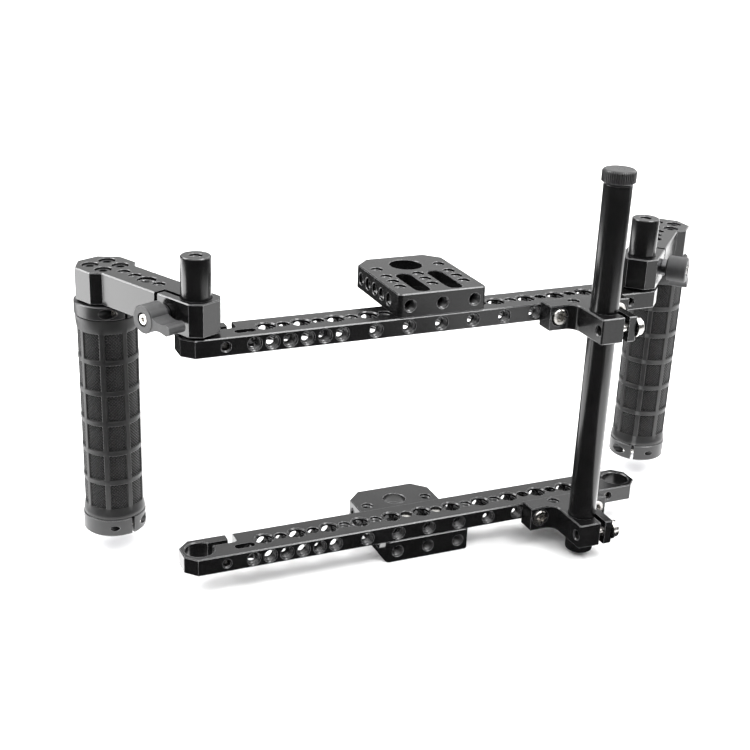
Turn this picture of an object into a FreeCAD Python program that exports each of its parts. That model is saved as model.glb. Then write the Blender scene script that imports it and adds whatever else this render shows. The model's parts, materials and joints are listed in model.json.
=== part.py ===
import FreeCAD, Part
import math
import os

V = FreeCAD.Vector
X_AXIS = V(1, 0, 0)
Y_AXIS = V(0, 1, 0)
Z_AXIS = V(0, 0, 1)

# Monitor cage on two drilled rails, joined by one clamped rod, with two swivelling hand grips.
# Millimetres. +X runs along the rails, +Y points away from the operator, +Z is up.
# The origin is the middle thread of the base plate, on the face that the cage stands on.

# Hole families and rods
PITCH = 9.15
SMALL_R = 3.2
LARGE_R = 4.8
SMALL_FLARE = 0.25
LARGE_FLARE = 0.55
FRONT_FLARE = 0.6
ROD_R = 7.5
RUNNING_GAP = 0.04
BORE_R = ROD_R + RUNNING_GAP
SCREW_GAP = 0.05
EDGE = 0.45

# Plates
PLATE_WIDTH = 49.8
PLATE_DEPTH = 61.4
PLATE_THICK = 12.8
PLATE_CORNER = 7.9
PLATE_FRONT_RADIUS = 2.3
GRID_X = 18.3
GRID_Y = 8.7
OUTER_HOLE_Y = 12.6
PORT_Y = 15.7
PORT_R = 8.9
PORT_DEPTH = 7.3
PORT_INNER_R = 6.4
SLOT_X = 9.15
SLOT_WIDTH = 8.8
SLOT_NECK = 6.6
SLOT_FRONT_Y = -28.4
SLOT_BACK_Y = 2.0
SLOT_LEDGE = 4.6
SIDE_HOLE_DEPTH = 7.3
SIDE_HOLE_PITCH = 8.95
SLOT_LIP = 0.3
FRONT_HOLE_DEPTH = 9.2

# Rails
RAIL_HALF = 136.3
RAIL_WIDTH = 21.6
RAIL_THICK = 9.5
RAIL_SPACING = 119.0
RAIL_CORNER = 5.8
END_BORE_X = 126.6
FINGER_Y = 4.9
SLIT_Y = 1.5
GAP_IN_X = 105.8
GAP_OUT_X = 109.8
GAP_RADIUS = 2.0
PINCH_X = 115.1
PINCH_R = 2.0
PINCH_HEAD_R = 3.5
PINCH_HEAD_H = 3.6
PINCH_POCKET = 3.8
PINCH_LENGTH = 15.0
STRAP_X = 103.4
STRAP_Y = -3.8
STRAP_LENGTH = 11.0
STRAP_WIDTH = 4.6
RAIL_Y = RAIL_WIDTH / 2 - PLATE_DEPTH / 2
RAIL_FRONT_Y = -PLATE_DEPTH / 2
LOWER_Z = PLATE_THICK + RAIL_THICK / 2
UPPER_Z = LOWER_Z + RAIL_SPACING
TOP_PLATE_Z = UPPER_Z + RAIL_THICK / 2
FRONT_STEPS = [0, 2, 4, 6, 7, 8, 9, 10, 11]
LARGE_TOP_STEPS = [0, 2, 4, 6, 8, 10]
SMALL_TOP_STEPS = [1, 3, 5, 7, 9]
PLATE_SCREW_X = 9.15
PLATE_SCREW_HEAD_R = 4.05
PLATE_SCREW_HEAD_H = 3.7
PLATE_SCREW_INSET = 1.5

# Vertical rod and its two clamps
ROD_X = 82.4
ROD_FRONT = 23.4
ROD_Y = RAIL_FRONT_Y - ROD_FRONT
ROD_BOTTOM = 2.7
ROD_LENGTH = 207.7
ROD_TOP = ROD_BOTTOM + ROD_LENGTH
ROD_THREAD_R = 5.2
ROD_THREAD_DEPTH = 13.0
CAP_R = 8.8
CAP_HEIGHT = 7.0
CAP_GAP = 0.3
CAP_STUB = 9.5
CLAMP_ABOVE = 6.4
CLAMP_BELOW = 7.4
FLANGE_HALF = 24.2
FLANGE_THICK = 10.3
BLOCK_LEFT = 9.2
BLOCK_FRONT = 37.0
CLAMP_SLIT_LEFT = 3.8
CLAMP_SLIT_RIGHT = 7.0
EAR_RIGHT = 11.9
CLAMP_FILLET = 5.0
CLAMP_SCREW_X = 18.3
CLAMP_SCREW_HEAD_R = 4.35
CLAMP_SCREW_HEAD_H = 5.7
CLAMP_SCREW_POCKET = 4.9
CLAMP_SCREW_LENGTH = 9.8
CLAMP_TAP_X = 7.3
PINCH_BOLT_Y = 33.6
PINCH_BOLT_R = 2.5
PINCH_BOLT_HEAD_R = 4.7
PINCH_BOLT_HEAD_H = 3.0
PINCH_BOLT_LENGTH = 19.5
WASHER_R = 5.5
WASHER_H = 1.1

# Short support rods in the upper rail's ends
SHORT_ROD_LENGTH = 46.5
SHORT_ROD_TOP = UPPER_Z + 43.8
SHORT_ROD_TAP = 13.0

# Hand grips: each arm swings about a short rod and carries a lock-on rubber grip
LEFT_ARM_ANGLE = 115.2
RIGHT_ARM_ANGLE = 45.2
ARM_TOP = UPPER_Z + 23.0
ARM_HEIGHT = 16.9
ARM_BOTTOM = ARM_TOP - ARM_HEIGHT
ARM_HALF = 10.2
ARM_END = 10.9
ARM_END_CORNER = 4.9
GRIP_REACH = 69.6
HEAD_APOTHEM = 14.6
ARM_SLIT_IN = 3.1
ARM_SLIT_OUT = 5.8
ARM_GAP_NEAR = 16.4
ARM_GAP_FAR = 18.9
ARM_SMALL_HOLES = [27.45, 45.75, 54.4]
ARM_LARGE_HOLE = 36.6
HEAD_SCREW_OFFSET = 5.4
HEAD_SCREW_R = 2.5
HEAD_SCREW_HEAD_R = 4.0
HEAD_POCKET_R = 4.3
HEAD_POCKET_DEPTH = 5.7
HEAD_SCREW_HEAD_H = 4.7
HEAD_SCREW_INTO_CORE = 11.0
CORE_R = 11.1
GRIP_BOTTOM = UPPER_Z - 125.1
TOP_COLLAR_TOP = UPPER_Z + 5.4
TOP_COLLAR_BOTTOM = UPPER_Z - 1.8
BOTTOM_COLLAR_TOP = UPPER_Z - 115.5
COLLAR_R = 16.7
COLLAR_SLIT = 1.8
COLLAR_SCREW_RADIUS = 13.3
COLLAR_SCREW_R = 1.5
COLLAR_SCREW_SEAT = 3.2
COLLAR_SCREW_LENGTH = 9.5
COLLAR_TAP_DEPTH = 14.0
COLLAR_HEAD_R = 2.45
COLLAR_HEAD_H = 2.6
COLLAR_POCKET_R = 2.65
TOP_SLIT_ANGLE = 178.0
BOTTOM_SLIT_ANGLE = 178.0
SLEEVE_R = 15.7
SLEEVE_GAP = 0.2
SLEEVE_FLANGE = 2.9
SLEEVE_TAPER = 3.1

# Clamp lever on each arm, turning about the arm's side normal
LEVER_REACH = 10.6
LEVER_Z = ARM_TOP - ARM_HEIGHT / 2
RIGHT_LEVER_TURN = -133
LEVER_STUD_R = 2.5
LEVER_STUD_DEPTH = 7.1
LEVER_STUD_OUT = 18.0
LEVER_COLLAR_R = 4.5
LEVER_COLLAR_IN = ARM_HALF + 0.3
LEVER_COLLAR_OUT = 12.9
LEVER_TEETH_R = 3.7
LEVER_TEETH_OUT = 15.9
LEVER_FACE = 24.3
LEVER_HUB_R = 7.0
LEVER_NECK_R = 5.2
WING_IN = 14.0
WING_TIP = 18.9
WING_DROP = 1.4
WING_HALF = 2.8
LEVER_SCREW_R = 1.5
LEVER_SCREW_LENGTH = 10.5
LEVER_SCREW_SEAT = 21.8
LEVER_SCREW_POCKET_R = 3.5
SPRING_SEAT = 18.9
SPRING_R = 2.3
SPRING_WIRE = 0.5
SPRING_PITCH = 0.8
SPRING_TURNS = 2.8
TOOTH_COUNT = 16
TOOTH_GROOVE_R = 0.45


def cylinder(radius, height, base, axis=Z_AXIS):
    return Part.makeCylinder(radius, height, base, axis)


def fuse(first, *others):
    return first.multiFuse(list(others)).removeSplitter()


def cut(shape, tools):
    return shape.cut(Part.makeCompound(tools))


def prism(points, z_low, z_high):
    """A straight prism on a closed outline of (x, y) corners."""
    corners = [V(x, y, z_low) for x, y in points]
    face = Part.Face(Part.makePolygon(corners + [corners[0]]))
    return face.extrude(V(0, 0, z_high - z_low))


def bevel_rims(shape, z_levels, size, shortest=2.5):
    """Chamfers the outline edges that lie in the given horizontal planes."""
    chosen = []
    for edge in shape.Edges:
        box = edge.BoundBox
        flat = box.ZLength < 1e-6
        level = any(abs(box.ZMin - z) < 1e-6 for z in z_levels)
        if flat and level and edge.Length > shortest:
            chosen.append(edge)
    return shape.makeChamfer(size, chosen)


def round_uprights(shape, spots, radius):
    """Rounds the vertical edges that stand at the given (x, y) places."""
    chosen = []
    for edge in shape.Edges:
        box = edge.BoundBox
        upright = box.ZLength > 1.0 and box.XLength < 1e-6 and box.YLength < 1e-6
        if upright and any(abs(box.XMin - x) + abs(box.YMin - y) < 1e-3 for x, y in spots):
            chosen.append(edge)
    return shape.makeFillet(radius, chosen)


def flare(radius, size, mouth, inward):
    """A countersink tool that opens a hole of this radius at its mouth."""
    reach = size + 0.2
    start = mouth - inward * 0.2
    return Part.makeCone(radius + reach, radius, reach, start, inward)


def drilled(radius, size, mouth, inward, depth, through=True):
    """Tools for one hole, countersunk at its mouth and, if it goes through, at its far end."""
    extra = 0.5 if through else 0.0
    tools = [cylinder(radius, depth + 0.5 + extra, mouth - inward * 0.5, inward)]
    tools.append(flare(radius, size, mouth, inward))
    if through:
        tools.append(flare(radius, size, mouth + inward * depth, inward * -1))
    return tools


def oblong(x, y, length, width, z_low, z_high, along_x):
    """A slot-shaped prism, rounded at both ends."""
    radius = width / 2
    straight = length - width
    dx = straight / 2 if along_x else 0.0
    dy = 0.0 if along_x else straight / 2
    ends = [V(x - dx, y - dy, z_low), V(x + dx, y + dy, z_low)]
    height = z_high - z_low
    if along_x:
        middle = Part.makeBox(straight, width, height, V(x - dx, y - radius, z_low))
    else:
        middle = Part.makeBox(width, straight, height, V(x - radius, y - dy, z_low))
    return fuse(middle, *[cylinder(radius, height, end) for end in ends])


def hexagon(across, depth, top, axis):
    """A hexagonal key socket that goes in from the point top, against axis."""
    corner = across / math.sqrt(3)
    ring = []
    for k in range(6):
        angle = math.radians(60 * k)
        ring.append(V(corner * math.cos(angle), corner * math.sin(angle), 0))
    socket = Part.Face(Part.makePolygon(ring + [ring[0]])).extrude(V(0, 0, -depth))
    socket.Placement = FreeCAD.Placement(top, FreeCAD.Rotation(Z_AXIS, axis))
    return socket


def screw(seat, axis, shank_r, shank_length, head_r, head_h, across, tip=0.6):
    """A socket-head screw. seat is where the head rests, and axis points out of the head."""
    head = cylinder(head_r, head_h, seat, axis)
    rim = [e for e in head.Edges if e.Closed and (e.CenterOfMass - (seat + axis * head_h)).Length < 1e-3]
    head = head.makeChamfer(min(0.5, head_h / 5), rim)
    shank = cylinder(shank_r, shank_length - tip, seat - axis * (shank_length - tip), axis)
    point = Part.makeCone(shank_r - tip, shank_r, tip, seat - axis * shank_length, axis)
    body = fuse(head, shank, point)
    return body.cut(hexagon(across, head_h * 0.55, seat + axis * head_h, axis))


def make_plate(z_low, mouth_up):
    """The fixing plate. Its wide slots and port open upwards if mouth_up, and downwards if not."""
    half = PLATE_WIDTH / 2
    front = -PLATE_DEPTH / 2
    back = PLATE_DEPTH / 2
    corner = PLATE_CORNER
    outline = [(-half, front), (half, front), (half, back - corner), (half - corner, back)]
    outline += [(-half + corner, back), (-half, back - corner)]
    z_high = z_low + PLATE_THICK
    plate = prism(outline, z_low, z_high)
    plate = round_uprights(plate, [(-half, front), (half, front)], PLATE_FRONT_RADIUS)
    plate = bevel_rims(plate, [z_low, z_high], EDGE)
    into = Z_AXIS * (-1 if mouth_up else 1)
    mouth_z = z_high if mouth_up else z_low
    far_z = z_low if mouth_up else z_high
    tools = []
    for column in (-1, 0, 1):
        for row in (0, -1, -2):
            mouth = V(column * GRID_X, row * GRID_Y, mouth_z)
            tools += drilled(SMALL_R, SMALL_FLARE, mouth, into, PLATE_THICK)
    for side in (-1, 1):
        mouth = V(side * GRID_X, OUTER_HOLE_Y, mouth_z)
        tools += drilled(SMALL_R, SMALL_FLARE, mouth, into, PLATE_THICK)
        slot_y = (SLOT_FRONT_Y + SLOT_BACK_Y) / 2
        slot_length = SLOT_BACK_Y - SLOT_FRONT_Y
        ledge_z = far_z - into.z * SLOT_LEDGE
        wide = sorted([mouth_z - into.z, ledge_z])
        tools.append(oblong(side * SLOT_X, slot_y, slot_length, SLOT_WIDTH, wide[0], wide[1], False))
        neck_length = slot_length - SLOT_WIDTH + SLOT_NECK
        tools.append(oblong(side * SLOT_X, slot_y, neck_length, SLOT_NECK, z_low - 1, z_high + 1, False))
        lip = sorted([mouth_z - into.z, mouth_z + into.z * SLOT_LIP])
        lip_width = SLOT_WIDTH + 2 * SLOT_LIP
        tools.append(oblong(side * SLOT_X, slot_y, slot_length + 2 * SLOT_LIP, lip_width, *lip, False))
    mid_z = z_low + PLATE_THICK / 2
    for side in (-1, 1):
        for k in range(5):
            mouth = V(side * half, (k - 2) * SIDE_HOLE_PITCH, mid_z)
            tools += drilled(SMALL_R, SMALL_FLARE, mouth, X_AXIS * -side, SIDE_HOLE_DEPTH, through=False)
    for column in (-1, 0, 1):
        mouth = V(column * GRID_X, front, mid_z)
        tools += drilled(SMALL_R, SMALL_FLARE, mouth, Y_AXIS, FRONT_HOLE_DEPTH, through=False)
    port = V(0, PORT_Y, mouth_z)
    tools += drilled(PORT_R, SMALL_FLARE, port, into, PORT_DEPTH, through=False)
    tools += drilled(PORT_INNER_R, SMALL_FLARE, port, into, PLATE_THICK)
    return cut(plate, tools)


def make_rail(z_mid):
    """One drilled rail. Both ends are split clamps for a 15 mm rod, drawn in by a screw from behind."""
    x = RAIL_HALF
    y = RAIL_WIDTH / 2
    c = RAIL_CORNER
    z_low = z_mid - RAIL_THICK / 2
    z_high = z_mid + RAIL_THICK / 2
    outline = [(-x + c, -y), (x - c, -y), (x, -y + c), (x, y - c)]
    outline += [(x - c, y), (-x + c, y), (-x, y - c), (-x, -y + c)]
    rail = bevel_rims(prism(outline, z_low, z_high), [z_low, z_high], EDGE)
    tools = []
    height = RAIL_THICK + 2
    under = z_low - 1
    for side in (-1, 1):
        tools += drilled(BORE_R, EDGE, V(side * END_BORE_X, 0, z_high), -Z_AXIS, RAIL_THICK)
        slit_from = V(min(side * GAP_IN_X, side * END_BORE_X), SLIT_Y, under)
        slit = Part.makeBox(END_BORE_X - GAP_IN_X, FINGER_Y - SLIT_Y, height, slit_from)
        gap_from = V(min(side * GAP_IN_X, side * GAP_OUT_X), SLIT_Y, under)
        gap = Part.makeBox(GAP_OUT_X - GAP_IN_X, y - SLIT_Y + 1, height, gap_from)
        notch = fuse(slit, gap)
        notch = round_uprights(notch, [(side * GAP_IN_X, SLIT_Y)], GAP_RADIUS)
        tools.append(notch)
        strap = oblong(side * STRAP_X, STRAP_Y, STRAP_LENGTH, STRAP_WIDTH, under, z_high + 1, True)
        tools.append(strap)
        back = V(side * PINCH_X, y, z_mid)
        tools.append(cylinder(PINCH_HEAD_R + 0.25, PINCH_POCKET + 1, back + Y_AXIS, -Y_AXIS))
        tools.append(cylinder(PINCH_R + SCREW_GAP, RAIL_WIDTH + 2, back + Y_AXIS, -Y_AXIS))
        tools.append(flare(PINCH_R + SCREW_GAP, 0.6, V(side * PINCH_X, -y, z_mid), Y_AXIS))
        for step in FRONT_STEPS:
            if step == 0 and side < 0:
                continue
            mouth = V(side * step * PITCH, -y, z_mid)
            tools += drilled(SMALL_R, FRONT_FLARE, mouth, Y_AXIS, RAIL_WIDTH)
        for step in LARGE_TOP_STEPS:
            if step == 0 and side < 0:
                continue
            mouth = V(side * step * PITCH, 0, z_high)
            tools += drilled(LARGE_R, LARGE_FLARE, mouth, -Z_AXIS, RAIL_THICK)
        for step in SMALL_TOP_STEPS:
            mouth = V(side * step * PITCH, 0, z_high)
            tools += drilled(SMALL_R, SMALL_FLARE, mouth, -Z_AXIS, RAIL_THICK)
    rail = cut(rail, tools)
    rail.translate(V(0, RAIL_Y, 0))
    return rail


def make_rail_pinch_screws(z_mid):
    screws = []
    for side in (-1, 1):
        seat = V(side * PINCH_X, RAIL_Y + RAIL_WIDTH / 2 - PINCH_POCKET, z_mid)
        screws.append(screw(seat, Y_AXIS, PINCH_R, PINCH_LENGTH, PINCH_HEAD_R, PINCH_HEAD_H, 3.0))
    return Part.makeCompound(screws)


def make_plate_screws(seat_z, axis):
    length = SLOT_LEDGE + RAIL_THICK - PLATE_SCREW_INSET
    head_r = PLATE_SCREW_HEAD_R
    screws = []
    for side in (-1, 1):
        seat = V(side * PLATE_SCREW_X, RAIL_Y, seat_z)
        screws.append(screw(seat, axis, SMALL_R - SCREW_GAP, length, head_r, PLATE_SCREW_HEAD_H, 4.8))
    return Part.makeCompound(screws)


def make_rod_clamp(z_mid):
    """A flange screwed to the rail's front, and a split block that grips the vertical rod."""
    z_low = z_mid - CLAMP_BELOW
    z_high = z_mid + CLAMP_ABOVE
    f = FLANGE_THICK
    outline = [(-FLANGE_HALF, 0), (-FLANGE_HALF, -f), (-BLOCK_LEFT, -f), (-BLOCK_LEFT, -BLOCK_FRONT)]
    outline += [(EAR_RIGHT, -BLOCK_FRONT), (EAR_RIGHT, -f), (FLANGE_HALF, -f), (FLANGE_HALF, 0)]
    clamp = prism(outline, z_low, z_high)
    clamp = round_uprights(clamp, [(-BLOCK_LEFT, -f), (EAR_RIGHT, -f)], CLAMP_FILLET)
    clamp = round_uprights(clamp, [(-BLOCK_LEFT, -BLOCK_FRONT), (EAR_RIGHT, -BLOCK_FRONT)], 1.0)
    clamp = bevel_rims(clamp, [z_low, z_high], EDGE)
    tools = drilled(BORE_R, EDGE, V(0, -ROD_FRONT, z_high), -Z_AXIS, z_high - z_low)
    slit_width = CLAMP_SLIT_RIGHT - CLAMP_SLIT_LEFT
    slit_corner = V(CLAMP_SLIT_LEFT, -BLOCK_FRONT - 1, z_low - 1)
    tools.append(Part.makeBox(slit_width, BLOCK_FRONT - ROD_FRONT + 2.5, z_high - z_low + 2, slit_corner))
    for side in (-1, 1):
        seat = V(side * CLAMP_SCREW_X, -f, z_mid)
        tools += drilled(SMALL_R, SMALL_FLARE, seat, Y_AXIS, f)
        tools.append(cylinder(CLAMP_SCREW_HEAD_R + 0.6, CLAMP_SCREW_POCKET + 1, seat - Y_AXIS, Y_AXIS))
        tap = V(side * CLAMP_TAP_X, -f / 2, z_high)
        tools += drilled(SMALL_R, SMALL_FLARE, tap, -Z_AXIS, z_high - z_low)
    bolt_mid = (z_low + z_high) / 2
    bolt = V(EAR_RIGHT + 1, -PINCH_BOLT_Y, bolt_mid)
    tools.append(cylinder(PINCH_BOLT_R + SCREW_GAP, EAR_RIGHT + BLOCK_LEFT + 2, bolt, -X_AXIS))
    tools.append(flare(PINCH_BOLT_R + SCREW_GAP, 0.5, V(-BLOCK_LEFT, -PINCH_BOLT_Y, bolt_mid), X_AXIS))
    clamp = cut(clamp, tools)
    clamp.translate(V(ROD_X, RAIL_FRONT_Y, 0))
    return clamp


def make_clamp_bolts(z_mid):
    """Short bolts, so that the outer one stops before the rail's strap slot."""
    bolts = []
    for side in (-1, 1):
        seat = V(ROD_X + side * CLAMP_SCREW_X, RAIL_FRONT_Y - FLANGE_THICK + CLAMP_SCREW_POCKET, z_mid)
        shank = (SMALL_R - SCREW_GAP, CLAMP_SCREW_LENGTH)
        bolts.append(screw(seat, -Y_AXIS, *shank, CLAMP_SCREW_HEAD_R, CLAMP_SCREW_HEAD_H, 4.8))
    return Part.makeCompound(bolts)


def pinch_point(z_mid):
    bolt_mid = z_mid + (CLAMP_ABOVE - CLAMP_BELOW) / 2
    return V(ROD_X + EAR_RIGHT, RAIL_FRONT_Y - PINCH_BOLT_Y, bolt_mid)


def make_clamp_washer(z_mid):
    disc = cylinder(WASHER_R, WASHER_H, pinch_point(z_mid), X_AXIS)
    return disc.cut(cylinder(PINCH_BOLT_R + SCREW_GAP, WASHER_H + 2, pinch_point(z_mid) - X_AXIS, X_AXIS))


def make_pinch_bolt(z_mid):
    seat = pinch_point(z_mid) + X_AXIS * WASHER_H
    return screw(seat, X_AXIS, PINCH_BOLT_R, PINCH_BOLT_LENGTH, PINCH_BOLT_HEAD_R, PINCH_BOLT_HEAD_H, 4.0)


def make_vertical_rod():
    rod = cylinder(ROD_R, ROD_LENGTH, V(ROD_X, ROD_Y, ROD_BOTTOM))
    rod = bevel_rims(rod, [ROD_BOTTOM, ROD_TOP], 0.6)
    tools = []
    for z, inward in ((ROD_TOP, -Z_AXIS), (ROD_BOTTOM, Z_AXIS)):
        tools += drilled(ROD_THREAD_R, 0.6, V(ROD_X, ROD_Y, z), inward, ROD_THREAD_DEPTH, through=False)
    return cut(rod, tools)


def make_rod_cap():
    low = ROD_TOP + CAP_GAP
    head = cylinder(CAP_R, CAP_HEIGHT, V(ROD_X, ROD_Y, low))
    head = bevel_rims(head, [low, low + CAP_HEIGHT], 0.5)
    stub = cylinder(ROD_THREAD_R - SCREW_GAP, CAP_STUB, V(ROD_X, ROD_Y, low - CAP_STUB))
    return fuse(head, stub)


def make_short_rod(side):
    low = SHORT_ROD_TOP - SHORT_ROD_LENGTH
    centre = V(side * END_BORE_X, RAIL_Y, low)
    rod = bevel_rims(cylinder(ROD_R, SHORT_ROD_LENGTH, centre), [low, SHORT_ROD_TOP], 0.5)
    top = V(side * END_BORE_X, RAIL_Y, SHORT_ROD_TOP)
    tools = drilled(SMALL_R, SMALL_FLARE, top, -Z_AXIS, SHORT_ROD_TAP, through=False)
    tools += drilled(SMALL_R, SMALL_FLARE, centre, Z_AXIS, SHORT_ROD_TAP, through=False)
    return cut(rod, tools)


# Each hand grip is drawn in its own frame: x runs from the short rod to the grip, y out of the
# lever's side, z as in the cage. place_handle puts the left one, and the mirrored right one, in place.


def place_handle(shape, side):
    placed = shape if side < 0 else shape.mirror(V(0, 0, 0), Y_AXIS)
    angle = LEFT_ARM_ANGLE if side < 0 else RIGHT_ARM_ANGLE
    placed = placed.copy()
    placed.rotate(V(0, 0, 0), Z_AXIS, angle)
    placed.translate(V(side * END_BORE_X, RAIL_Y, 0))
    return placed


def make_arm():
    h = ARM_HALF
    e = ARM_END
    c = ARM_END_CORNER
    bar = [(-e + c, -h), (GRIP_REACH, -h), (GRIP_REACH, h), (-e + c, h), (-e, h - c), (-e, -h + c)]
    corner = HEAD_APOTHEM / math.cos(math.pi / 8)
    head = []
    for k in range(8):
        angle = math.pi / 8 + k * math.pi / 4
        head.append((GRIP_REACH + corner * math.cos(angle), corner * math.sin(angle)))
    arm = fuse(prism(bar, ARM_BOTTOM, ARM_TOP), prism(head, ARM_BOTTOM, ARM_TOP))
    arm = bevel_rims(arm, [ARM_BOTTOM, ARM_TOP], EDGE)
    tools = drilled(BORE_R, EDGE, V(0, 0, ARM_TOP), -Z_AXIS, ARM_HEIGHT)
    tall = ARM_HEIGHT + 2
    slit_corner = V(0, ARM_SLIT_IN, ARM_BOTTOM - 1)
    tools.append(Part.makeBox(ARM_GAP_FAR, ARM_SLIT_OUT - ARM_SLIT_IN, tall, slit_corner))
    gap_corner = V(ARM_GAP_NEAR, ARM_SLIT_IN, ARM_BOTTOM - 1)
    tools.append(Part.makeBox(ARM_GAP_FAR - ARM_GAP_NEAR, h, tall, gap_corner))
    for reach in ARM_SMALL_HOLES:
        tools += drilled(SMALL_R, SMALL_FLARE, V(reach, 0, ARM_TOP), -Z_AXIS, ARM_HEIGHT)
    tools += drilled(LARGE_R, SMALL_FLARE, V(ARM_LARGE_HOLE, 0, ARM_TOP), -Z_AXIS, ARM_HEIGHT)
    for x, y in head_screw_places():
        tools.append(cylinder(HEAD_SCREW_R + SCREW_GAP, tall, V(x, y, ARM_BOTTOM - 1)))
        tools.append(cylinder(HEAD_POCKET_R, HEAD_POCKET_DEPTH + 1, V(x, y, ARM_TOP - HEAD_POCKET_DEPTH)))
        tools.append(flare(HEAD_POCKET_R, 0.3, V(x, y, ARM_TOP), -Z_AXIS))
    stud_start = V(LEVER_REACH, -LEVER_STUD_DEPTH - 0.2, LEVER_Z)
    tools.append(cylinder(LEVER_STUD_R + SCREW_GAP, LEVER_STUD_DEPTH + h + 1, stud_start, Y_AXIS))
    return cut(arm, tools)


def head_screw_places():
    d = HEAD_SCREW_OFFSET
    return [(GRIP_REACH + i * d, j * d) for i in (-1, 1) for j in (-1, 1)]


def make_handle_screws():
    seat_z = ARM_TOP - HEAD_POCKET_DEPTH
    length = ARM_HEIGHT - HEAD_POCKET_DEPTH + HEAD_SCREW_INTO_CORE
    head_r = HEAD_SCREW_HEAD_R
    screws = []
    for x, y in head_screw_places():
        seat = V(x, y, seat_z)
        screws.append(screw(seat, Z_AXIS, HEAD_SCREW_R, length, head_r, HEAD_SCREW_HEAD_H, 4.0))
    return Part.makeCompound(screws)


def make_grip_core():
    core = cylinder(CORE_R, ARM_BOTTOM - GRIP_BOTTOM, V(GRIP_REACH, 0, GRIP_BOTTOM))
    core = bevel_rims(core, [GRIP_BOTTOM], 0.8)
    tools = []
    for x, y in head_screw_places():
        depth = HEAD_SCREW_INTO_CORE + 2
        tools.append(cylinder(HEAD_SCREW_R + SCREW_GAP, depth, V(x, y, ARM_BOTTOM), -Z_AXIS))
    return cut(core, tools)


def make_sleeve():
    """The rubber sleeve with a raised flange at each end that meets the lock collars."""
    inner = CORE_R + 0.02
    top = TOP_COLLAR_BOTTOM - SLEEVE_GAP
    bottom = BOTTOM_COLLAR_TOP + SLEEVE_GAP
    flange_r = COLLAR_R - 0.3
    flange_low = bottom + SLEEVE_FLANGE
    flange_high = top - SLEEVE_FLANGE
    profile = [(inner, bottom), (flange_r, bottom), (flange_r, flange_low)]
    profile += [(SLEEVE_R, flange_low + SLEEVE_TAPER), (SLEEVE_R, flange_high - SLEEVE_TAPER)]
    profile += [(flange_r, flange_high), (flange_r, top), (inner, top)]
    corners = [V(GRIP_REACH + r, 0, z) for r, z in profile]
    face = Part.Face(Part.makePolygon(corners + [corners[0]]))
    return face.revolve(V(GRIP_REACH, 0, 0), Z_AXIS, 360)


def make_collar(z_low, z_high, slit_angle, screw_side):
    """A split lock collar. Its screw crosses the slit, with the head on screw_side of it."""
    collar = cylinder(COLLAR_R, z_high - z_low, V(0, 0, z_low))
    collar = bevel_rims(collar, [z_low, z_high], EDGE)
    mid_z = (z_low + z_high) / 2
    tall = z_high - z_low + 2
    tools = [cylinder(CORE_R + 0.02, tall, V(0, 0, z_low - 1))]
    tools.append(Part.makeBox(COLLAR_R, COLLAR_SLIT, tall, V(CORE_R - 2, -COLLAR_SLIT / 2, z_low - 1)))
    start = V(COLLAR_SCREW_RADIUS, -screw_side * COLLAR_TAP_DEPTH, mid_z)
    along = Y_AXIS * screw_side
    tools.append(cylinder(COLLAR_SCREW_R + 0.03, COLLAR_TAP_DEPTH + COLLAR_SCREW_SEAT + 1, start, along))
    pocket_start = V(COLLAR_SCREW_RADIUS, screw_side * COLLAR_SCREW_SEAT, mid_z)
    tools.append(cylinder(COLLAR_POCKET_R, 14.0, pocket_start, along))
    collar = cut(collar, tools)
    collar.rotate(V(0, 0, 0), Z_AXIS, slit_angle)
    collar.translate(V(GRIP_REACH, 0, 0))
    return collar


def make_collar_screw(z_low, z_high, slit_angle, screw_side):
    seat = V(COLLAR_SCREW_RADIUS, screw_side * COLLAR_SCREW_SEAT, (z_low + z_high) / 2)
    shank = (COLLAR_SCREW_R, COLLAR_SCREW_LENGTH)
    bolt = screw(seat, Y_AXIS * screw_side, *shank, COLLAR_HEAD_R, COLLAR_HEAD_H, 2.5, tip=0.4)
    bolt.rotate(V(0, 0, 0), Z_AXIS, slit_angle)
    bolt.translate(V(GRIP_REACH, 0, 0))
    return bolt


# The lever's frame: x towards the grip, y out of the arm's side, z up, about its own turning axis.


def place_lever(shape, turn):
    placed = shape.copy()
    placed.rotate(V(0, 0, 0), Y_AXIS, turn)
    placed.translate(V(LEVER_REACH, 0, LEVER_Z))
    return placed


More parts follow.
